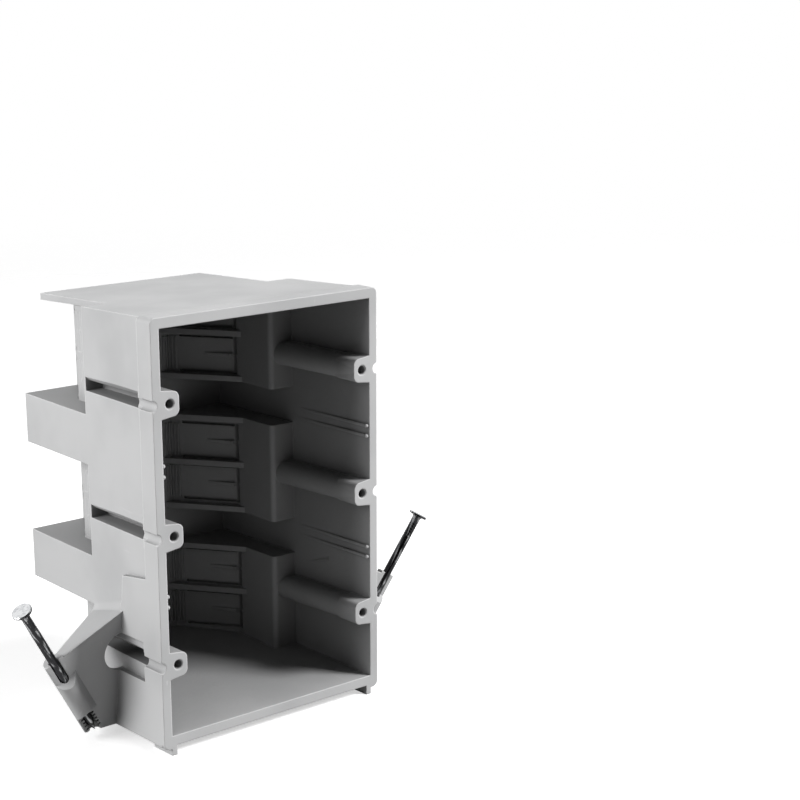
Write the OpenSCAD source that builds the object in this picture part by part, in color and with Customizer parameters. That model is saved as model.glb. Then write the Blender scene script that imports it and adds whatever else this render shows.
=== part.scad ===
// Three gang new work outlet box, moulded in one piece, with two captive slanted nails.
// X runs across the gangs' screw pairs, Y from the open front to the back, Z along the gangs.
// The box stands on its stud side. The origin lies under its middle, at the tips of the depth tabs.

/* [Box] */
// Outside width of the rim
rim_w = 97.2; // [94:0.2:102]
// Outside length of the rim along the gangs
rim_l = 151; // [148:0.5:158]
// Depth from the rim face to the back
box_d = 90; // [84:0.5:100]
// Thickness of the long walls
wall = 2.1; // [1.6:0.1:2.6]
// Thickness of the end walls at the back
end_wall = 2.4; // [1.8:0.1:3]
// Thickness of the back wall
back_wall = 2.2; // [1.8:0.1:3]
// Narrowing of each long wall for each millimetre of depth
side_draft = 0.038; // [0.02:0.002:0.05]
// Narrowing of each end wall for each millimetre of depth
end_draft = 0.048; // [0.03:0.002:0.055]

/* [Rim] */
// Depth of the raised band round the rim
band_d = 8; // [6:0.5:10]
// Height of the band over the long walls
band_rise = 1.65; // [1:0.05:2]
// Height of the band over the end walls
band_rise_end = 0.55; // [0.3:0.05:0.8]
// Radius of the rim's corners
corner_r = 2; // [1:0.5:3]

/* [Device screws] */
// Distance between neighbouring gangs
gang_pitch = 46.04; // [44:0.02:46.4]
// Distance between the two screws of a gang
screw_span = 83.34; // [82.8:0.02:83.8]
// Diameter of the screw holes
screw_d = 3.2; // [2.6:0.1:3.6]
// Width of the lug round each screw hole
lug_w = 8.7; // [8:0.1:9.4]
// Reach of a lug past the screw's axis
lug_reach = 3.7; // [3.2:0.1:4]
// Depth of the solid screw lug
lug_d = 10.4; // [8:0.2:12]
// Half width of the hollow boss behind each lug
boss_r = 4.3; // [4:0.1:4.6]
// Half width of the groove behind a boss, towards the stud
slot_low = 2.4; // [1.8:0.1:2.6]
// Half width of that groove's mouth, away from the stud
slot_high = 3.2; // [2.4:0.1:3.4]
// Radius of the notch through the band at each screw
notch_r = 2; // [1.6:0.1:2.4]

/* [Cable pockets] */
// Depth at which the pockets start
pocket_y = 46.5; // [42:0.5:50]
// Thickness of the ledge at the front of each pocket
ledge_t = 3.4; // [2.4:0.1:4]
// Half width of the box at the pockets
pocket_x = 35.4; // [34.4:0.1:36.4]
// Depth at which the slanted pocket wall starts
slant_y = 67.5; // [64:0.5:70]
// Half width of the flat back between the pockets
back_x = 21.7; // [19:0.1:24]
// Height of the upright edge at the foot of the slanted wall
foot_h = 3.7; // [2.5:0.1:5]
// Width of the two hollow legs between the pockets
leg_w = 18.2; // [15:0.1:20]
// Distance of each leg's middle from the middle of the box
leg_z = 25.9; // [25:0.1:27]

/* [Cable flaps] */
// Width of a cable flap
flap_w = 12.6; // [11:0.1:13]
// Width of the slits beside a flap
slit = 1; // [0.7:0.1:1.2]
// Width of the gap at a flap's free end
end_gap = 2.1; // [1.6:0.1:2.4]
// Thickness of the web left in the slits and the gap
web_t = 0.5; // [0.3:0.1:0.8]
// Thickness of the web that a flap hinges on
hinge_t = 0.7; // [0.5:0.1:1]
// Height of the shelf ribs beside the flaps
shelf_h = 3; // [2:0.1:4]
// Thickness of the shelf ribs
shelf_t = 2.2; // [1.6:0.1:2.6]

/* [Stud side] */
// Distance from the rim to the tips of the depth tabs
tab_drop = 3.6; // [3:0.1:5]
// Depth of the tabs
tab_d = 11; // [9.5:0.1:16]
// Thickness of the tabs and corner ribs
tab_t = 2.2; // [1.6:0.1:2.6]
// Thickness of the wedge ribs
rib_t = 1.6; // [1.2:0.1:2]
// Depth at which the wedge ribs end
rib_end = 47.5; // [40:0.5:54]
// Distance of the inner wedge ribs from the middle
rib_near = 12; // [9:0.5:16]
// Distance of the outer wedge ribs from the middle
rib_far = 32.7; // [28:0.1:36]

/* [Nails] */
// Length of a nail
nail_l = 63.5; // [60:0.5:66]
// Diameter of a nail's shank
nail_d = 3.2; // [3:0.1:3.4]
// Diameter of a nail's head
nail_head_d = 7.2; // [6.5:0.1:8]
// Thickness of a nail's head
nail_head_t = 1.1; // [0.9:0.1:1.6]
// Clearance between a nail and its guide, on the radius
nail_gap = 0.2; // [0.15:0.05:0.3]

/* [Nail brackets] */
// Slant of a nail away from the box
nail_slant = 30.2; // [28:0.2:32]
// Tilt of a nail towards the front
nail_tilt = 9.5; // [8:0.5:11]
// Distance from the middle to the nail's axis at the stud
guide_x = 57.1; // [56:0.1:59]
// Depth of the nail's axis at the stud
guide_y = 31.2; // [30:0.1:33]
// Length of the nail guide
guide_l = 37; // [34:0.5:39]
// Outside radius of the nail guide
guide_r = 3.7; // [3.5:0.1:4]
// Start of the closed stretch of the guide, from the stud
closed_from = 9; // [7:0.5:11]
// End of the closed stretch of the guide, from the stud
closed_to = 26; // [22:0.5:28]
// Thickness of the bracket's plate and flanges
plate_t = 2.2; // [1.8:0.1:2.6]
// Lean of the bracket's upper flange towards the stud
flange_tilt = 17; // [13:1:20]
// Radius of the hole that the bracket leaves round the boss
relief_r = 7.3; // [6.5:0.1:7.8]

/* [Hidden] */
$fn = 48;

// Overlap that joins pieces, and overshoot of cuts
eps = 0.01;
past = 2;
// Half sizes of the rim, and the open mouth inside it
half_w = rim_w / 2;
half_l = rim_l / 2;
mouth_x = half_w - band_rise - wall;
mouth_z = half_l - 3.7;
// Inner faces of the pockets' straight walls and ledges, and the ledges' round edge
panel_x = pocket_x - wall;
ledge_y = pocket_y - ledge_t;
ledge_r = 1.8;
// Innermost edge of a lug, its corner radius, and the lean of the boss from there to the ledge
lug_tip = screw_span / 2 - lug_reach;
lug_round = 2.4;
boss_lean = atan2(lug_tip - panel_x - ledge_r + 0.2, ledge_y);
// Outer edge of a lug and middle of its notch: at the long wall, but clear of the screw hole
hole_wall = 1;
screw_edge = (screw_span + screw_d) / 2 + hole_wall;
lug_root = max(half_w - band_rise + side_draft * band_d, screw_edge);
notch_x = max(half_w + 0.15, screw_edge + notch_r);
// Half widths of the long walls and end walls at a depth
function side_x(y) = half_w - band_rise - side_draft * (y - band_d);
function end_z(y) = half_l - band_rise_end - end_draft * (y - band_d);
function mouth_x_at(y) = side_x(y) - wall;
function mouth_z_at(y) = mouth_z - (mouth_z - end_z(box_d) + end_wall) * y / box_d;
// Slanted pocket wall: its length, its turn and a point on it or inside it
slant_top = [pocket_x - 0.4, slant_y];
slant_foot = [back_x, box_d - foot_h];
slant_run = slant_foot - slant_top;
slant_l = norm(slant_run);
slant_turn = atan2(slant_run[1], slant_run[0]);
slant_in = [-slant_run[1], slant_run[0]] / slant_l;
function slant_x_at(y, deep) =
    slant_top[0] + slant_in[0] * deep
    + slant_run[0] * (y - slant_top[1] - slant_in[1] * deep) / slant_run[1];
function slant_y_at(x, deep) =
    slant_top[1] + slant_in[1] * deep
    + slant_run[1] * (x - slant_top[0] - slant_in[0] * deep) / slant_run[0];
// Places along the gangs: gangs, legs and the middles of the pockets
gangs = [-gang_pitch, 0, gang_pitch];
legs = [-leg_z, leg_z];
leg_edge = leg_z + leg_w / 2;
// A pocket's flaps lie on either side of its middle shelf
flap_off = (leg_z - leg_w / 2) / 2;
end_flap_off = flap_off + 0.4;
pocket_end = leg_edge + flap_w / 2 + slit + 0.3 + end_flap_off;
pockets = [-pocket_end, 0, pocket_end];
// An end pocket has each flap for which its end wall leaves room
flap_room = end_z(box_d) - end_wall - flap_w / 2 - slit;
function flaps_at(z) = z == 0
    ? [-flap_off, flap_off]
    : [for (flap = [z - end_flap_off, z + end_flap_off]) if (abs(flap) < flap_room) flap];
flap_end = slant_l - 1.4;
// Height at which the bracket leaves the wall, and the ends of the nail guide's axis
plate_top_z = -28.9;
guide_tip = [guide_x, guide_y, -half_l];
guide_head = guide_tip
    + guide_l * [sin(nail_slant), -cos(nail_slant) * sin(nail_tilt), cos(nail_slant) * cos(nail_tilt)];
face_off = 0.7;
plate_top_y = guide_y - face_off - (half_l + plate_top_z) * tan(nail_tilt);
plate_top = [side_x(pocket_y) - 0.8, plate_top_y, plate_top_z];
// The way from there to just under the guide's head, as the upper flange's depth, rise and turn
flange_drop = 0.9;
flange_run = guide_head - [0, 0, flange_drop] - plate_top;
flange_back = flange_run[1] * cos(flange_tilt) - flange_run[2] * sin(flange_tilt);
flange_up = flange_run[1] * sin(flange_tilt) + flange_run[2] * cos(flange_tilt);
flange_turn = atan2(flange_up, flange_run[0]);
// Depth of the upper flange where it meets the wall
root_back = (pocket_y - eps - plate_top_y) / cos(flange_tilt);
// Inner side of a corner tab
fin_x = half_w - 5.4;
// Thickness of the plates over the stud side's corners
cap_t = 1.4;
// Width of the nubs at a flap's free end
nub_w = 1.4;

module place() {
    translate([0, -box_d / 2, half_l + tab_drop]) children();
}

module both_sides() {
    children();
    mirror([1, 0, 0]) children();
}

// Extrudes a shape drawn in X and Y along the gangs, between two heights
module along_z(from, to) {
    translate([0, 0, from]) linear_extrude(to - from) children();
}

// Extrudes a shape drawn as depth and height across the box, between two places
module along_x(from, to) {
    translate([from, 0, 0]) rotate([90, 0, 90]) linear_extrude(to - from) children();
}

// Cylinder along the depth, between two depths
module along_y(from, to, r) {
    translate([0, from, 0]) rotate([-90, 0, 0]) cylinder(h = to - from, r = r);
}

// Outline of the long walls from rim to back, drafted, symmetric about X = 0
module full_outline() {
    polygon([
        [-side_x(0), 0], [side_x(0), 0],
        [side_x(box_d), box_d], [-side_x(box_d), box_d]
    ]);
}

// Outline of the box where the pockets cut in, seen along the gangs
module pocket_outline() {
    half = [
        [side_x(0), 0], [side_x(pocket_y), pocket_y], [pocket_x, pocket_y],
        slant_top, slant_foot, [back_x, box_d]
    ];
    polygon(concat(half, [for (i = [len(half) - 1:-1:0]) [-half[i][0], half[i][1]]]));
}

// The same outline, a wall's thickness further in
module pocket_inside() {
    floor_y = box_d - back_wall;
    half = [
        [mouth_x_at(-past), -past], [mouth_x_at(ledge_y), ledge_y], [panel_x, ledge_y],
        [panel_x, slant_y_at(panel_x, wall)], [slant_x_at(floor_y, wall), floor_y]
    ];
    polygon(concat(half, [for (i = [len(half) - 1:-1:0]) [-half[i][0], half[i][1]]]));
    both_sides() difference() {
        translate([panel_x - eps, ledge_y - eps]) square(ledge_r + eps);
        translate([panel_x + ledge_r, ledge_y + ledge_r]) circle(ledge_r);
    }
}

// Drafted end walls, as a slab across the box
module end_limits(grow) {
    along_x(-half_w - past, half_w + past)
        polygon([
            [-past, -end_z(-past) - grow], [box_d + past, -end_z(box_d + past) - grow],
            [box_d + past, end_z(box_d + past) + grow], [-past, end_z(-past) + grow]
        ]);
}

module outer_solid() {
    intersection() {
        union() {
            along_z(-half_l, half_l) pocket_outline();
            for (z = legs) along_z(z - leg_w / 2, z + leg_w / 2) full_outline();
            difference() {
                translate([-pocket_x, pocket_y - wall, -half_l])
                    cube([2 * pocket_x, box_d - pocket_y + wall, rim_l]);
                end_cavity(past);
            }
        }
        end_limits(0);
    }
    rim_band();
}

// Space between the end plates, behind the front block
module end_cavity(grow) {
    along_x(-pocket_x - grow, pocket_x + grow)
        polygon([
            [pocket_y, -end_z(pocket_y) + end_wall], [box_d + past, -end_z(box_d + past) + end_wall],
            [box_d + past, end_z(box_d + past) - end_wall], [pocket_y, end_z(pocket_y) - end_wall]
        ]);
}

module rim_band() {
    translate([0, band_d, 0]) rotate([90, 0, 0]) linear_extrude(band_d)
        round_rect(rim_w, rim_l, corner_r);
}

// Rectangle about the origin with round corners, from discs and two bars
module round_rect(w, l, r) {
    square([w - 2 * r, l], center = true);
    square([w, l - 2 * r], center = true);
    for (x = [-1, 1], z = [-1, 1]) translate([x * (w / 2 - r), z * (l / 2 - r)]) circle(r);
}

module cavity() {
    intersection() {
        union() {
            along_z(-half_l, half_l) pocket_inside();
            for (z = legs)
                along_z(z - leg_w / 2 + wall, z + leg_w / 2 - wall)
                    polygon([
                        [-mouth_x_at(0), 0], [mouth_x_at(0), 0],
                        [mouth_x_at(box_d - back_wall), box_d - back_wall],
                        [-mouth_x_at(box_d - back_wall), box_d - back_wall]
                    ]);
        }
        along_x(-half_w, half_w)
            polygon([
                [-past, -mouth_z_at(-past)], [box_d - back_wall, -mouth_z_at(box_d - back_wall)],
                [box_d - back_wall, mouth_z_at(box_d - back_wall)], [-past, mouth_z_at(-past)]
            ]);
    }
}

// Flat plan of a screw lug, from the wall to a blunt end with round corners
module lug_plan() {
    half = lug_w / 2;
    flare = 0.85;
    round_x = lug_tip + lug_round;
    for (side = [-1, 1]) translate([round_x, side * (half - lug_round)]) circle(lug_round);
    translate([lug_tip, lug_round - half]) square([lug_round, lug_w - 2 * lug_round]);
    polygon([
        [round_x, -half], [lug_root - eps, -half - flare],
        [lug_root - eps, half + flare], [round_x, half]
    ]);
}

// Lug, and behind it a leaning boss of U shape whose legs reach the wall
module boss_solid() {
    intersection() {
        translate([lug_tip + boss_r, 0, 0]) rotate([0, 0, boss_lean]) {
            along_y(-past, box_d, boss_r);
            translate([0, -past, -boss_r]) cube([half_w, box_d, 2 * boss_r]);
        }
        along_z(-boss_r - 1, boss_r + 1)
            polygon([
                [panel_x, 0], [mouth_x_at(0) + 1, 0],
                [mouth_x_at(ledge_y) + 1, ledge_y + ledge_r], [panel_x, ledge_y + ledge_r]
            ]);
    }
    translate([0, lug_d, 0]) rotate([90, 0, 0]) linear_extrude(lug_d) lug_plan();
}

// Core groove of a boss, open to the outside, wider at its mouth
module boss_slot() {
    slot_floor = lug_tip + 0.7;
    slot_end = pocket_y - 1;
    translate([0, slot_end, 0]) rotate([90, 0, 0]) linear_extrude(slot_end - lug_d)
        polygon([
            [slot_floor, -slot_low], [half_w + past, -slot_low], [half_w + past, slot_high],
            [slot_floor + 7.6, slot_high], [slot_floor + 5.4, 1.2], [slot_floor, 0.6]
        ]);
}

module screw_cut() {
    sink_d = 0.4;
    translate([screw_span / 2, 0, 0]) along_y(-past, lug_d + past, screw_d / 2);
    translate([screw_span / 2, -eps, 0]) rotate([-90, 0, 0])
        cylinder(h = sink_d, r1 = screw_d / 2 + sink_d, r2 = screw_d / 2);
    translate([notch_x, 0, 0]) along_y(-past, lug_d + eps, notch_r);
}

// Pair of thin ribs on the inside of a long wall, at the border of two gangs
module divider_ribs() {
    rib_gap = 3.8;
    rib_w = 1;
    rib_run = 40;
    rib_rise = 0.8;
    nub_r = 0.8;
    for (z = [-rib_gap / 2, rib_gap / 2]) {
        along_z(z - rib_w / 2, z + rib_w / 2)
            polygon([
                [mouth_x_at(0) + 0.5, 1], [mouth_x_at(0) - rib_rise, 1],
                [mouth_x_at(rib_run), rib_run], [mouth_x_at(rib_run) + 0.5, rib_run]
            ]);
        translate([mouth_x_at(0) - rib_rise + 0.2, nub_r + 0.3, z]) sphere(nub_r);
    }
}

// Moves a child from the slanted wall's own frame: X down the slant, Y into the box
module on_slant() {
    translate([slant_top[0], slant_top[1], 0]) rotate([0, 0, slant_turn]) children();
}

// Shelf rib beside the flaps, on the inside of the slanted wall
module shelf_rib(z, t) {
    floor_y = box_d - back_wall;
    deep = wall + shelf_h;
    along_z(z - t / 2, z + t / 2)
        polygon([
            [panel_x + 0.5, slant_y_at(panel_x + 0.5, wall)],
            [panel_x + 0.5, slant_y_at(panel_x, deep)],
            [panel_x, slant_y_at(panel_x, deep)],
            [slant_x_at(floor_y, deep), floor_y],
            [slant_x_at(floor_y, deep), floor_y + 0.5],
            [slant_x_at(floor_y, wall), floor_y + 0.5],
            [slant_x_at(floor_y - 0.5, wall - 0.5), floor_y - 0.5]
        ]);
}

// Slits and gap round one flap, cut from inside down to a web, and the hinge groove outside
module flap_cut() {
    gap_y = slant_y_at(panel_x, wall);
    on_slant() {
        for (z = [-flap_w / 2 - slit, flap_w / 2])
            translate([0, web_t, z]) cube([flap_end, wall + past, slit]);
        translate([flap_end - 1, -past, -flap_w / 2 + slit / 2])
            cube([1, past + wall - hinge_t, flap_w - slit]);
    }
    difference() {
        translate([panel_x - past, gap_y - end_gap, -flap_w / 2 - slit])
            cube([past + wall - web_t, end_gap, flap_w + 2 * slit]);
        translate([panel_x + 0.3, gap_y - end_gap - 1, -nub_w / 2]) cube([wall, end_gap / 2 + 1, nub_w]);
    }
}

// Rib on a flap's inside that rises to a nub at the free end
module flap_rib() {
    rib_w = 1.2;
    rib_rise = 1;
    on_slant() {
        along_z(-rib_w / 2, rib_w / 2)
            polygon([
                [0.5, wall - 0.3], [slant_l / 2, wall - 0.3], [slant_l / 2, wall + 0.1],
                [0.5, wall + rib_rise]
            ]);
        translate([0.1, wall - 0.3, -nub_w / 2]) cube([nub_w, rib_rise + 0.6, nub_w]);
    }
}

// Raised lines over the slits on the outside of the slanted wall
module flap_lines() {
    line_w = 0.9;
    line_rise = 0.4;
    on_slant()
        for (z = [-1, 1] * (flap_w + slit) / 2)
            translate([1, -line_rise, z - line_w / 2]) cube([flap_end - 1, line_rise + 0.2, line_w]);
}

// Fine ridges across the bend between a flap's hinge and the back wall
module ridges() {
    pitch = 1.4;
    ridge = 0.6;
    bend_x = slant_x_at(box_d - back_wall, wall);
    on_slant()
        for (i = [0:2])
            translate([flap_end + 1.1 + pitch * i, wall - 0.3, -flap_w / 2]) cube([ridge, ridge + 0.3, flap_w]);
    for (i = [0:1])
        translate([bend_x - 1.2 - pitch * i, box_d - back_wall - ridge, -flap_w / 2])
            cube([ridge, ridge + 0.3, flap_w]);
}

module pocket_ribs(z) {
    shelf_rib(z, shelf_t);
    for (flap = flaps_at(z)) translate([0, 0, flap]) {
        flap_rib();
        flap_lines();
        ridges();
    }
}

// Raised pad round the bracket, level with the rim's band
module bracket_pad() {
    along_x(mouth_x_at(0), half_w)
        polygon([
            [eps, -half_l + corner_r], [eps, -14.5], [22.5, -17.7], [23.5, -27], [24.5, plate_top_z],
            [31.5, -half_l], [cap_t - eps, -half_l], [cap_t - eps, -half_l + corner_r]
        ]);
}

// Frame of the bracket's plate, and the nail's frame in it: Z along the nail, Y to the back
module on_plate() {
    translate(guide_tip) rotate([nail_tilt, 0, 0]) children();
}

module on_nail() {
    on_plate() rotate([0, nail_slant, 0]) children();
}

// Frame of the leaning upper flange: X along its top to the guide's head, Y to the back
module on_flange() {
    translate(plate_top) rotate([-flange_tilt, 0, 0]) rotate([0, -flange_turn, 0]) children();
}

module bracket_plate() {
    root = guide_x - side_x(guide_y) + 1.2;
    head = guide_l * [sin(nail_slant), cos(nail_slant)];
    top = (half_l + plate_top_z) / cos(nail_tilt);
    on_plate() translate([0, plate_t - face_off, 0]) rotate([90, 0, 0]) linear_extrude(plate_t + 1)
        polygon([[-root, 0], [0, 0], head, head + [0, 2], [-root, top + 2]]);
}

// Flange along the bracket's upper edge, deep at the wall and shallow at the guide
module upper_flange() {
    span = norm([flange_run[0], flange_up]);
    on_flange() translate([0, 0, -plate_t]) linear_extrude(plate_t + 1)
        polygon([
            [0, -past], [span, flange_back - past], [span, flange_back + guide_r + 0.9],
            [2, root_back], [0, root_back]
        ]);
}

// Hollow curve between the flange's top and the wall, along the wall's draft
module flange_fillet() {
    hollow_r = 4;
    // Distance from the corner to the points where the curve begins and ends
    reach = hollow_r / tan(45 - flange_turn / 2);
    wall_x = side_x(plate_top[1]);
    corner_z = plate_top_z + (wall_x - plate_top[0]) * tan(flange_turn);
    translate([wall_x, plate_top[1], corner_z]) rotate([0, 0, atan(side_draft)])
        rotate([-flange_tilt, 0, 0]) translate([0, root_back, 0])
            rotate([90, 0, 0]) linear_extrude(root_back + past)
                difference() {
                    polygon([
                        [-1, -1], [-1, reach], [hollow_r, reach],
                        reach * [cos(flange_turn), sin(flange_turn)],
                        [reach * cos(flange_turn), reach * sin(flange_turn) - 1]
                    ]);
                    translate([hollow_r, reach]) circle(hollow_r);
                }
}

// Plate and flange, cut to the flange's top and to the plate's front face
module bracket_shell() {
    intersection() {
        union() {
            intersection() {
                union() {
                    bracket_plate();
                    upper_flange();
                }
                on_flange() translate([-past, -box_d, -rim_l]) cube([rim_w, 2 * box_d, rim_l]);
            }
            flange_fillet();
        }
        on_plate() translate([-rim_w, -face_off, -past]) cube([2 * rim_w, box_d, rim_l]);
    }
}

// Flange along the stud side, from the wall to the guide
module stud_flange() {
    x0 = side_x(0) - 3;
    back = guide_y + 11.1;
    along_z(-half_l, -half_l + plate_t)
        polygon([
            [x0, guide_y - face_off], [guide_x, guide_y - face_off], [guide_x, guide_y + guide_r],
            [guide_x - 3.8, back - 0.9], [side_x(0), back], [x0, back]
        ]);
}

// Tube for the nail, with a slope from the plate's face onto its closed stretch
module guide_tube() {
    slope_run = 5;
    // Angle at which the slope touches the tube
    touch = 180 + atan2(face_off, slope_run) + acos(guide_r / norm([slope_run, face_off]));
    on_nail() {
        cylinder(h = guide_l, r = guide_r);
        along_z(closed_from, closed_to + 2)
            polygon([[-slope_run, -face_off], guide_r * [cos(touch), sin(touch)], [0, 0], [-slope_run, 0]]);
    }
}

// Bore for the nail, and the cuts that leave a half tube at both ends
module guide_cut() {
    bore_r = nail_d / 2 + nail_gap;
    tooth_pitch = 1.6;
    tooth_gap = 0.8;
    on_nail() {
        translate([0, 0, -past]) cylinder(h = guide_l + 2 * past, r = bore_r);
        // Sloped ends of the closed stretch, seen from the side
        translate([-guide_r - 1, 0, 0]) rotate([90, 0, 90]) linear_extrude(2 * guide_r + 2) {
            polygon([
                [-face_off, -past], [-face_off, closed_from], [-guide_r - past, closed_from + 4],
                [-guide_r - past, -past]
            ]);
            polygon([
                [-face_off, guide_l + past], [-face_off, closed_to + 2], [-guide_r - past, closed_to - 2],
                [-guide_r - past, guide_l + past]
            ]);
        }
        for (stretch = [[-past, closed_from], [closed_to + 2, guide_l + past]])
            translate([-bore_r, -guide_r, stretch[0]]) cube([2 * bore_r, guide_r, stretch[1] - stretch[0]]);
        // Gaps between the teeth that grip the nail near its point
        for (i = [0:4])
            translate([-bore_r - 1, -guide_r, 1 + tooth_pitch * i])
                cube([2 * bore_r + 2, guide_r + 0.8, tooth_gap]);
    }
}

module bracket() {
    intersection() {
        union() {
            bracket_shell();
            guide_tube();
        }
        translate([0, 0, -half_l]) cube([rim_w, pocket_y - eps, rim_l]);
    }
    stud_flange();
}

// Hole in pad and plate round the lowest boss, down to the wall's own surface
module bracket_relief() {
    front = lug_d + 0.3;
    mid = [side_x(lug_d) + 1, 0, -gang_pitch - 0.5];
    difference() {
        union() {
            translate(mid) along_y(front, pocket_y - 3, relief_r);
            translate([mouth_x, front, mid[2]]) cube([mid[0] - mouth_x, pocket_y - 3 - front, relief_r]);
        }
        along_z(-half_l, half_l)
            polygon([
                [0, 0], [side_x(0), 0], [side_x(box_d), box_d], [0, box_d]
            ]);
    }
}

// Wedge ribs that bring the drafted end wall up to the stud's face
module stud_ribs() {
    for (x = [rib_near, rib_far]) along_x(x - rib_t / 2, x + rib_t / 2) wedge_plan(band_d, rib_end);
    along_x(fin_x, fin_x + tab_t) wedge_plan(tab_d - 1, rib_end);
    translate([fin_x, 0, -half_l - tab_drop]) cube([tab_t, tab_d, tab_drop + 1]);
    translate([0, cap_t, 0]) rotate([90, 0, 0]) linear_extrude(cap_t) cap_plan();
}

// Front plate over a corner, just past the rim, with a round outer corner
module cap_plan() {
    drop = 1.1;
    round_r = 2.4;
    translate([fin_x, -half_l - drop]) square([half_w - round_r - fin_x, drop + 3]);
    translate([fin_x, -half_l - drop + round_r]) square([half_w - fin_x, 3 + drop - round_r]);
    translate([half_w - round_r, -half_l - drop + round_r]) circle(round_r);
}

// Wedge between the stud's plane and the drafted end wall, drawn as depth and height
module wedge_plan(from, to) {
    polygon([
        [from, -half_l], [to, -half_l], [to, -end_z(to) + 1], [from, -end_z(from) + 1]
    ]);
}

module box_body() {
    color("gainsboro") place() difference() {
        union() {
            difference() {
                outer_solid();
                cavity();
            }
            both_sides() {
                for (z = gangs) translate([0, 0, z]) boss_solid();
                for (z = [-gang_pitch / 2, gang_pitch / 2]) translate([0, 0, z]) divider_ribs();
                for (z = pockets) pocket_ribs(z);
                for (z = legs, side = [-1, 1]) shelf_rib(z + side * (leg_w - wall) / 2, wall);
                bracket_pad();
                bracket();
                stud_ribs();
            }
        }
        both_sides() {
            for (z = gangs) translate([0, 0, z]) {
                boss_slot();
                screw_cut();
            }
            for (z = pockets, flap = flaps_at(z)) translate([0, 0, flap]) flap_cut();
            guide_cut();
            bracket_relief();
        }
    }
}

// Nail along its own axis, point at the stud, head away from the box
module nail() {
    point_l = 5;
    color("silver") place() on_nail() rotate_extrude()
        polygon([
            [0, 0], [nail_d / 2, point_l], [nail_d / 2, nail_l - nail_head_t - 0.6],
            [nail_d / 2 + 0.6, nail_l - nail_head_t], [nail_head_d / 2, nail_l - nail_head_t],
            [nail_head_d / 2, nail_l], [0, nail_l]
        ]);
}

module nail_right() {
    nail();
}

module nail_left() {
    mirror([1, 0, 0]) nail();
}

box_body();
nail_left();
nail_right();
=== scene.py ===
"""Dresses the new work outlet box: grey moulded PVC, two bright nails, a pale studio."""

import logging
import math
from dataclasses import dataclass, field
from enum import Enum
from typing import Any, Optional, Union

import bmesh
import bpy
from mathutils import Matrix, Vector

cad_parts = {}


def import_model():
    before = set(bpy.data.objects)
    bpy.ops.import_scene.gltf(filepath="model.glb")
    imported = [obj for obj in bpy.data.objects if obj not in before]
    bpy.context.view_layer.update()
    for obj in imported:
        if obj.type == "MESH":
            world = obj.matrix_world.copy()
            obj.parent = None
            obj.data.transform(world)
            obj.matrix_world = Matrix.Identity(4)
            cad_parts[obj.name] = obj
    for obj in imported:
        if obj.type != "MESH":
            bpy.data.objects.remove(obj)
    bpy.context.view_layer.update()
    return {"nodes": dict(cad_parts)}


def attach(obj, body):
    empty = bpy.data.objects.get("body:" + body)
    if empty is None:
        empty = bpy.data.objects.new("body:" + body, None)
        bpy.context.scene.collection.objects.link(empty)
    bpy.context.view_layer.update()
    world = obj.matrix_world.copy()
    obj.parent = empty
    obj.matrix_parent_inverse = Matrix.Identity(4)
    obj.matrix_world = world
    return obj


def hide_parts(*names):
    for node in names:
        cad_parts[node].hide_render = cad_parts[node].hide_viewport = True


LOG = logging.getLogger("outlet_box")
MM = 0.001

Number = Union[int, float]
Value = Union[int, float, tuple, "Socket", bpy.types.NodeSocket]


class Side(Enum):
    """The two long sides of the box, with the sign of their X."""

    LEFT = -1
    RIGHT = 1


class Socket:
    """A node's output that can be used in arithmetic on single values."""

    def __init__(self, shader: "Shader", output: bpy.types.NodeSocket) -> None:
        """Keeps the output and the shader that new nodes go into.

        Args:
            shader: The node tree under construction.
            output: The output that this object stands for.
        """
        self.shader = shader
        self.output = output

    def _math(self, operation: str, first: Value, second: Value) -> "Socket":
        """Adds one Math node.

        Args:
            operation: The Math node's operation.
            first: Its first value.
            second: Its second value.

        Returns:
            The node's result.
        """
        return self.shader.node("ShaderNodeMath", {"operation": operation}, {0: first, 1: second})

    def __add__(self, other: Value) -> "Socket":
        """Sum."""
        return self._math("ADD", self, other)

    def __radd__(self, other: Value) -> "Socket":
        """Sum with a number on the left."""
        return self._math("ADD", other, self)

    def __sub__(self, other: Value) -> "Socket":
        """Difference."""
        return self._math("SUBTRACT", self, other)

    def __rsub__(self, other: Value) -> "Socket":
        """Difference with a number on the left."""
        return self._math("SUBTRACT", other, self)

    def __mul__(self, other: Value) -> "Socket":
        """Product."""
        return self._math("MULTIPLY", self, other)

    def __rmul__(self, other: Value) -> "Socket":
        """Product with a number on the left."""
        return self._math("MULTIPLY", other, self)

    def power(self, exponent: Value) -> "Socket":
        """Power."""
        return self._math("POWER", self, exponent)

    def above(self, low: Number, high: Number) -> "Socket":
        """Smooth mask that rises from 0 at low to 1 at high."""
        return self.shader.node(
            "ShaderNodeMapRange",
            {"interpolation_type": "SMOOTHSTEP"},
            {"Value": self, "From Min": low, "From Max": high},
        )


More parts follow.
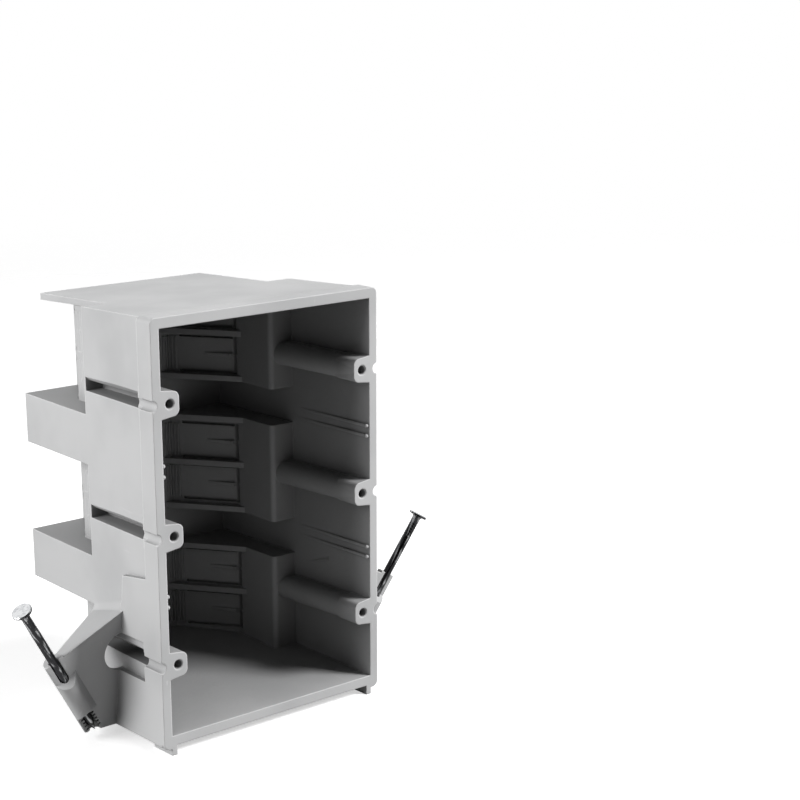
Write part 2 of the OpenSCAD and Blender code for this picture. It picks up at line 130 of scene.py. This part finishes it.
class Shader:
    """A material's node tree with its Principled shader."""

    def __init__(self, name: str) -> None:
        """Starts an empty material.

        Args:
            name: The material's name.
        """
        self.material = bpy.data.materials.new(name)
        self.material.use_nodes = True
        self.tree = self.material.node_tree
        self.tree.nodes.clear()
        self.out = self.tree.nodes.new("ShaderNodeOutputMaterial")
        self.coords = self.tree.nodes.new("ShaderNodeTexCoord")

    def node(
        self,
        kind: str,
        settings: Optional[dict[str, Any]] = None,
        inputs: Optional[dict[Union[int, str], Value]] = None,
        output: Union[int, str] = 0,
    ) -> Socket:
        """Adds a node, sets it up and links it.

        Args:
            kind: The node's type.
            settings: Its properties, set before its sockets. "stops" holds a ramp's stops.
            inputs: Values or sources of its input sockets.
            output: The output to return.

        Returns:
            The chosen output.
        """
        made = self.tree.nodes.new(kind)
        for key, value in (settings or {}).items():
            if key == "stops":
                for index, (place, grey) in enumerate(value):
                    stop = made.color_ramp.elements[index]
                    stop.position, stop.color = place, (grey, grey, grey, 1)
            else:
                setattr(made, key, value)
        for key, value in (inputs or {}).items():
            self.feed(made.inputs[key], value)
        return Socket(self, made.outputs[output])

    def feed(self, target: bpy.types.NodeSocket, value: Value) -> None:
        """Gives an input a link or a plain value.

        Args:
            target: The input socket.
            value: A socket, a number or a tuple.
        """
        if isinstance(value, Socket):
            self.tree.links.new(value.output, target)
        elif isinstance(value, bpy.types.NodeSocket):
            self.tree.links.new(value, target)
        else:
            target.default_value = value

    def noise(
        self,
        stretch: tuple[float, float, float],
        detail: float = 3,
        rough: float = 0.5,
        place: Optional[Socket] = None,
    ) -> Socket:
        """Noise on object coordinates, or on others.

        Args:
            stretch: Waves for each metre along X, Y and Z.
            detail: Octaves.
            rough: Weight of the finer octaves.
            place: The coordinates in use, where they aren't the object's.

        Returns:
            The noise's value, about 0.5 on average.
        """
        mapped = self.node(
            "ShaderNodeMapping",
            {},
            {"Vector": place or self.coords.outputs["Object"], "Scale": stretch},
        )
        return self.node(
            "ShaderNodeTexNoise", {}, {"Vector": mapped, "Scale": 1.0, "Detail": detail, "Roughness": rough}
        )

    def parts(self, vector: Value) -> list[Socket]:
        """X, Y and Z of a vector.

        Args:
            vector: The vector.

        Returns:
            Its three values.
        """
        split = self.node("ShaderNodeSeparateXYZ", {}, {0: vector}).output.node
        return [Socket(self, output) for output in split.outputs]

    def tint(self, mask: Value, base: tuple, other: tuple) -> Socket:
        """Colour between two, by a mask.

        Args:
            mask: 0 for base, 1 for other.
            base: Linear red, green and blue.
            other: Linear red, green and blue.

        Returns:
            The mixed colour.
        """
        return self.node(
            "ShaderNodeMix",
            {"data_type": "RGBA"},
            {"Factor": mask, 6: (*base, 1), 7: (*other, 1)},
            output=2,
        )

    def blend(self, mask: Value, first: Value, second: Value) -> Socket:
        """Mix of two colours of which one or both come from nodes.

        Args:
            mask: 0 for first, 1 for second.
            first: A colour.
            second: A colour.

        Returns:
            The mixed colour.
        """
        return self.node("ShaderNodeMix", {"data_type": "RGBA"}, {"Factor": mask, 6: first, 7: second}, output=2)

    def finish(self, shader: Socket) -> bpy.types.Material:
        """Links the surface and returns the material."""
        self.feed(self.out.inputs["Surface"], shader)
        return self.material


@dataclass(frozen=True)
class MouldedPvc:
    """Light grey PVC as it leaves the mould: satin, with faint flow marks and scuffs, with painted shade in its
    hollows and a painted highlight along its edges.

    Args:
        base: Colour of the plastic.
        pale: Colour where it is scuffed, and the painted highlight along rounded edges.
        deep: Colour in the cloudier patches.
        painted_hollow_shade: Painted shade at the bottom of hollows, where little light comes.
        recess_reach: Distance within which other walls shade a place.
        satin: Roughness of the clean surface.
        edge_radius: Rounding of the moulding's edges.
        grain: Depth of the moulded grain.
    """

    base: tuple[float, float, float] = (0.565, 0.567, 0.570)
    pale: tuple[float, float, float] = (0.86, 0.86, 0.86)
    deep: tuple[float, float, float] = (0.49, 0.493, 0.497)
    painted_hollow_shade: tuple[float, float, float] = (0.23, 0.23, 0.232)
    recess_reach: float = 118 * MM
    satin: float = 0.56
    edge_radius: float = 0.6 * MM
    grain: float = 0.012 * MM

    def material(self) -> bpy.types.Material:
        """Builds the material.

        Returns:
            The PVC material.
        """
        pvc = Shader("pvc_light_grey")
        clouds = pvc.noise((22, 22, 22), detail=4).above(0.42, 0.7)
        flow = pvc.noise((240, 9, 110), detail=5, rough=0.6)
        scuffs = flow.above(0.64, 0.74) * pvc.noise((30, 30, 30), detail=2).above(0.5, 0.62)
        rounded = pvc.node("ShaderNodeBevel", {"samples": 6}, {"Radius": self.edge_radius})
        sharp = pvc.node("ShaderNodeNewGeometry", {}, {}, output="True Normal")
        facing = pvc.node("ShaderNodeVectorMath", {"operation": "DOT_PRODUCT"}, {0: rounded, 1: sharp}, output="Value")
        # Painted highlight: the pale colour goes along rounded edges; the scuff mask is real wear.
        edge_highlight = (1 - facing).above(0.004, 0.12)
        clouded = pvc.tint(clouds, self.base, self.deep)
        scuffed_and_edge_lit = pvc.blend(scuffs * 0.35 + edge_highlight * 0.8, clouded, (*self.pale, 1))
        # Painted shade: ambient occlusion blends a darker grey into the colour deep in hollows.
        open_sky = pvc.node(
            "ShaderNodeAmbientOcclusion", {"samples": 12, "only_local": True}, {"Distance": self.recess_reach}, output="AO"
        )
        shaded = pvc.blend(open_sky.above(0.14, 0.9), (*self.painted_hollow_shade, 1), scuffed_and_edge_lit)
        pebble = pvc.noise((900, 900, 900), detail=2)
        bump = pvc.node(
            "ShaderNodeBump",
            {},
            {"Strength": 1.0, "Distance": self.grain, "Height": pebble + flow * 0.6, "Normal": rounded},
        )
        return pvc.finish(
            pvc.node(
                "ShaderNodeBsdfPrincipled",
                {},
                {
                    "Base Color": shaded,
                    "Roughness": self.satin + 0.10 * (pebble - 0.5) + 0.12 * scuffs,
                    "Specular IOR Level": 0.22,
                    "Normal": bump,
                },
            )
        )


@dataclass(frozen=True)
class BrightWire:
    """Zinc-plated wire of the nails, smooth from the die, with a painted dark reflection in streaks along the shank.

    Args:
        base: Colour of the zinc.
        dull: Colour of the duller patches.
        dark_reflection: Colour of the painted dark reflection, in streaks along the shank.
        polish: Roughness of the clean metal.
        mark_depth: Depth of the drawing marks.
        slant: Angle of the shank away from the box.
    """

    base: tuple[float, float, float] = (0.78, 0.79, 0.80)
    dull: tuple[float, float, float] = (0.50, 0.51, 0.53)
    dark_reflection: tuple[float, float, float] = (0.035, 0.035, 0.037)
    polish: float = 0.2
    mark_depth: float = 0.05 * MM
    slant: float = math.radians(30.2)

    def material(self) -> bpy.types.Material:
        """Builds the material.

        Returns:
            The zinc-plated steel material.
        """
        wire = Shader("nail_bright_steel")
        patches = wire.noise((420, 420, 260), detail=4, rough=0.6)
        dents = wire.noise((900, 900, 900), detail=3)
        normal = wire.parts(wire.node("ShaderNodeNewGeometry", {}, {}, output="True Normal"))
        place = wire.parts(wire.coords.outputs["Object"])
        side = wire.node("ShaderNodeMath", {"operation": "SIGN"}, {0: place[0]})
        lean, stand = math.sin(self.slant), math.cos(self.slant)
        crown = (normal[0] * side * lean + normal[2] * stand).above(0.45, 0.8)
        across = place[0] * side * stand - place[2] * lean
        along = place[0] * side * lean + place[2] * stand
        wire_place = wire.node("ShaderNodeCombineXYZ", {}, {0: across, 1: place[1], 2: along})
        # Painted reflection: near-black streaks along the shank, kept off the head's top.
        streaks = wire.noise((900, 900, 24), detail=3, rough=0.6, place=wire_place).above(0.3, 0.5)
        plated = wire.tint(patches.above(0.45, 0.7), self.base, self.dull)
        shank = wire.blend(streaks * (1 - crown), plated, (*self.dark_reflection, 1))
        bump = wire.node(
            "ShaderNodeBump", {}, {"Strength": 0.8, "Distance": self.mark_depth, "Height": dents}
        )
        return wire.finish(
            wire.node(
                "ShaderNodeBsdfPrincipled",
                {},
                {
                    "Base Color": shank,
                    "Metallic": 1.0,
                    "Roughness": self.polish + 0.25 * (patches - 0.4),
                    "Normal": bump,
                },
            )
        )


@dataclass
class Nail:
    """One captive nail: round shank, flat head, gripper rings and a four-sided point.

    Args:
        side: The side of the box that carries it.
        stud_point: The point's place on the right side, in the row frame.
        slant: Angle away from the box.
        tilt: Angle towards the front.
        length: Length over all.
        shank_radius: Radius of the shank.
        head_radius: Radius of the head.
        head_height: Thickness of the head.
        point_length: Length of the four-sided point.
        rings: Number of gripper rings under the head.
        ring_pitch: Distance between the rings.
        ring_depth: Depth of the rings.
    """

    side: Side
    stud_point: Vector = field(default_factory=lambda: Vector((57.1, -13.8, 3.6)) * MM)
    slant: float = math.radians(30.2)
    tilt: float = math.radians(9.5)
    length: float = 63.5 * MM
    shank_radius: float = 1.6 * MM
    head_radius: float = 3.6 * MM
    head_height: float = 1.1 * MM
    point_length: float = 5 * MM
    rings: int = 6
    ring_pitch: float = 1.1 * MM
    ring_depth: float = 0.12 * MM

    def profile(self) -> list[Vector]:
        """Half outline of the shank and head, from the point's root to the head's top.

        Returns:
            Points in the XZ plane.
        """
        r, top = self.shank_radius, self.length
        under = top - self.head_height
        points = [Vector((r * 0.8, 0, self.point_length * 0.8)), Vector((r, 0, self.point_length))]
        first = under - 2.5 * MM - self.rings * self.ring_pitch
        for index in range(self.rings):
            z = first + index * self.ring_pitch
            for drop, rise in ((0, 0), (self.ring_depth, 0.35), (0, 0.7)):
                points.append(Vector((r - drop, 0, z + rise * self.ring_pitch)))
        points += [
            Vector((r, 0, under - 0.7 * MM)),
            Vector((r + 0.25 * MM, 0, under - 0.25 * MM)),
            Vector((r + 0.7 * MM, 0, under)),
            Vector((self.head_radius - 0.15 * MM, 0, under)),
            Vector((self.head_radius, 0, under + 0.2 * MM)),
            Vector((self.head_radius, 0, top - 0.35 * MM)),
            Vector((self.head_radius - 0.3 * MM, 0, top - 0.08 * MM)),
            Vector((self.head_radius * 0.5, 0, top)),
            Vector((0, 0, top)),
        ]
        return points

    def build(self) -> bpy.types.Object:
        """Makes the nail where its guide holds it.

        Returns:
            The nail's object, with its place in its mesh.
        """
        bm = bmesh.new()
        verts = [bm.verts.new(p) for p in self.profile()]
        edges = [bm.edges.new(pair) for pair in zip(verts, verts[1:])]
        bmesh.ops.spin(
            bm,
            geom=verts + edges,
            cent=(0, 0, 0),
            axis=(0, 0, 1),
            angle=math.tau,
            steps=40,
            use_merge=True,
        )
        bmesh.ops.remove_doubles(bm, verts=bm.verts, dist=0.002 * MM)
        bmesh.ops.holes_fill(bm, edges=[e for e in bm.edges if e.is_boundary], sides=60)
        bmesh.ops.create_cone(
            bm,
            segments=4,
            cap_ends=True,
            radius1=0.04 * MM,
            radius2=self.shank_radius * 1.08,
            depth=self.point_length,
            matrix=Matrix.Translation((0, 0, self.point_length / 2)),
        )
        bmesh.ops.recalc_face_normals(bm, faces=bm.faces)
        turn = Matrix.Rotation(self.tilt, 4, "X") @ Matrix.Rotation(self.slant, 4, "Y")
        bm.transform(Matrix.Translation(self.stud_point) @ turn)
        if self.side is Side.LEFT:
            bm.transform(Matrix.Scale(-1, 4, (1, 0, 0)))
            bmesh.ops.reverse_faces(bm, faces=bm.faces)
        name = f"nail_{self.side.name.lower()}_wire"
        mesh = bpy.data.meshes.new(name)
        bm.to_mesh(mesh)
        bm.free()
        nail = bpy.data.objects.new(name, mesh)
        bpy.context.scene.collection.objects.link(nail)
        mesh.shade_smooth()
        mesh.set_sharp_from_angle(angle=math.radians(35))
        return nail

    def dress(self, nail: bpy.types.Object, metal: bpy.types.Material) -> None:
        """Gives the nail its metal and its place in the frame.

        Args:
            nail: The nail's object.
            metal: The wire's material.
        """
        nail.data.materials.append(metal)
        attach(nail, "root")
        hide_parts(f"nail_{self.side.name.lower()}")


@dataclass
class Moulding:
    """The box body as the frame brings it.

    Args:
        node: The body's object.
    """

    node: bpy.types.Object

    def dress(self, plastic: bpy.types.Material) -> None:
        """Gives the body its plastic.

        Args:
            plastic: The PVC material.
        """
        self.node.data.materials.clear()
        self.node.data.materials.append(plastic)


@dataclass
class Studio:
    """Pale floor, white surroundings, soft lamps and the photograph's camera.

    Args:
        eye: The camera's place.
        azimuth: Turn of the view from +Y towards +X.
        descent: Angle of the view below the horizon.
        roll: Turn of the picture.
        lens: Focal length on a sensor 36 mm wide.
        shift: Lens shift that frames the object as the photograph does.
        floor_reach: Radius of the floor's disc.
    """

    eye: Vector = field(default_factory=lambda: Vector((-0.3968, -0.5668, 0.2688)))
    azimuth: float = math.radians(41.42)
    descent: float = math.radians(16.24)
    roll: float = math.radians(0.113)
    lens: float = 86.94
    shift: tuple[float, float] = (-0.0091, 0.146)
    floor_reach: float = 1.5

    def camera(self) -> bpy.types.Object:
        """Makes the camera.

        Returns:
            The camera, set as the scene's.
        """
        data = bpy.data.cameras.new("camera")
        data.sensor_width = 36
        data.lens = self.lens
        data.shift_x, data.shift_y = self.shift
        data.clip_start, data.clip_end = 0.01, 50
        camera = bpy.data.objects.new("camera", data)
        bpy.context.scene.collection.objects.link(camera)
        turn = (
            Matrix.Rotation(-self.azimuth, 4, "Z")
            @ Matrix.Rotation(math.pi / 2 - self.descent, 4, "X")
            @ Matrix.Rotation(self.roll, 4, "Z")
        )
        camera.matrix_world = Matrix.Translation(self.eye) @ turn
        bpy.context.scene.camera = camera
        return camera

    def floor(self) -> bpy.types.Object:
        """Makes the floor, which fades into the white around it.

        Returns:
            The floor's object.
        """
        bm = bmesh.new()
        bmesh.ops.create_circle(bm, cap_ends=True, segments=96, radius=self.floor_reach)
        mesh = bpy.data.meshes.new("floor")
        bm.to_mesh(mesh)
        bm.free()
        floor = bpy.data.objects.new("floor", mesh)
        bpy.context.scene.collection.objects.link(floor)
        pale = Shader("floor_pale")
        away = pale.node(
            "ShaderNodeVectorMath", {"operation": "LENGTH"}, {0: pale.coords.outputs["Object"]}, output="Value"
        )
        bounced = pale.node("ShaderNodeLightPath", {}, {}, output="Is Diffuse Ray")
        paper = pale.node(
            "ShaderNodeBsdfDiffuse", {}, {"Color": pale.tint(bounced, (0.86, 0.86, 0.86), (0.30, 0.30, 0.30))}
        )
        glow = pale.node("ShaderNodeEmission", {}, {"Color": (1, 1, 1, 1), "Strength": 0.55})
        seen = pale.node("ShaderNodeLightPath", {}, {}, output="Is Camera Ray")
        nothing = pale.node("ShaderNodeEmission", {}, {"Color": (0, 0, 0, 1), "Strength": 0.0})
        lifted = pale.node("ShaderNodeMixShader", {}, {0: seen, 1: nothing, 2: glow})
        surface = pale.node("ShaderNodeAddShader", {}, {0: paper, 1: lifted})
        clear = pale.node("ShaderNodeBsdfTransparent")
        fade = away.above(0.35, self.floor_reach * 0.9)
        mesh.materials.append(pale.finish(pale.node("ShaderNodeMixShader", {}, {0: fade, 1: surface, 2: clear})))
        return floor

    def surroundings(self) -> None:
        """Makes the world: white to the eye and to reflections, dim as a light."""
        world = bpy.data.worlds.new("surroundings")
        bpy.context.scene.world = world
        world.use_nodes = True
        tree = world.node_tree
        tree.nodes.clear()
        out = tree.nodes.new("ShaderNodeOutputWorld")
        path = tree.nodes.new("ShaderNodeLightPath")
        seen = tree.nodes.new("ShaderNodeMath")
        seen.operation = "MAXIMUM"
        tree.links.new(path.outputs["Is Camera Ray"], seen.inputs[0])
        tree.links.new(path.outputs["Is Transmission Ray"], seen.inputs[1])
        shown = tree.nodes.new("ShaderNodeMath")
        shown.operation = "MAXIMUM"
        tree.links.new(seen.outputs[0], shown.inputs[0])
        tree.links.new(path.outputs["Is Glossy Ray"], shown.inputs[1])
        white = tree.nodes.new("ShaderNodeBackground")
        white.inputs["Color"].default_value = (1, 1, 1, 1)
        dim = tree.nodes.new("ShaderNodeBackground")
        dim.inputs["Color"].default_value = (1, 1, 1, 1)
        dim.inputs["Strength"].default_value = 0.03
        mix = tree.nodes.new("ShaderNodeMixShader")
        tree.links.new(shown.outputs[0], mix.inputs[0])
        tree.links.new(dim.outputs[0], mix.inputs[1])
        tree.links.new(white.outputs[0], mix.inputs[2])
        tree.links.new(mix.outputs[0], out.inputs["Surface"])

    def card(self) -> bpy.types.Object:
        """Hangs a black card behind the camera that only reflections show.

        Returns:
            The card's object.
        """
        bm = bmesh.new()
        bmesh.ops.create_grid(bm, x_segments=1, y_segments=1, size=0.5)
        away = (self.eye - Vector((0, 0, 0.08))).normalized()
        turn = away.to_track_quat("Z", "Y").to_matrix().to_4x4()
        bm.transform(Matrix.Translation(away * 0.95 + Vector((0, 0, 0.2))) @ turn @ Matrix.Diagonal((5.0, 2.4, 1, 1)))
        mesh = bpy.data.meshes.new("dark_card")
        bm.to_mesh(mesh)
        bm.free()
        card = bpy.data.objects.new("dark_card", mesh)
        bpy.context.scene.collection.objects.link(card)
        black = Shader("card_black")
        mesh.materials.append(
            black.finish(black.node("ShaderNodeBsdfDiffuse", {}, {"Color": (0.01, 0.01, 0.01, 1)}))
        )
        card.visible_camera = card.visible_diffuse = card.visible_shadow = False
        card.visible_transmission = False
        return card

    def lamp(self, name: str, place: tuple, size: tuple[float, float], power: float) -> bpy.types.Object:
        """Hangs a soft lamp that faces the object.

        Args:
            name: The lamp's name.
            place: Where it hangs.
            size: Its width and height.
            power: Its power.

        Returns:
            The lamp.
        """
        data = bpy.data.lights.new(name, "AREA")
        data.shape = "RECTANGLE"
        data.size, data.size_y = size
        data.energy = power
        lamp = bpy.data.objects.new(name, data)
        bpy.context.scene.collection.objects.link(lamp)
        lamp.location = place
        aim = Vector((0, 0, 0.08)) - Vector(place)
        lamp.rotation_mode = "QUATERNION"
        lamp.rotation_quaternion = aim.to_track_quat("-Z", "Y")
        return lamp

    def build(self) -> None:
        """Sets up the whole studio."""
        bpy.context.scene.view_settings.view_transform = "Standard"
        self.camera()
        self.floor()
        self.surroundings()
        self.card()
        self.lamp("lamp_left_back", (-1.2, 0.25, 0.58), (0.9, 0.9), 18.5)
        key = self.lamp("lamp_right_front", (1.15, -1.27, 1.24), (0.6, 0.6), 52)
        key.visible_glossy = False


def main() -> None:
    """Builds and dresses every piece, then the studio."""
    logging.basicConfig(level=logging.INFO, format="%(name)s: %(message)s")
    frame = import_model()
    body = Moulding(frame["nodes"]["box_body"])
    body.dress(MouldedPvc().material())
    LOG.info("box_body dressed in moulded PVC")
    metal = BrightWire().material()
    for side in Side:
        maker = Nail(side)
        nail = maker.build()
        maker.dress(nail, metal)
        LOG.info("%s built, %d faces", nail.name, len(nail.data.polygons))
    Studio().build()
    LOG.info("studio ready")


if __name__ == "__main__":
    main()
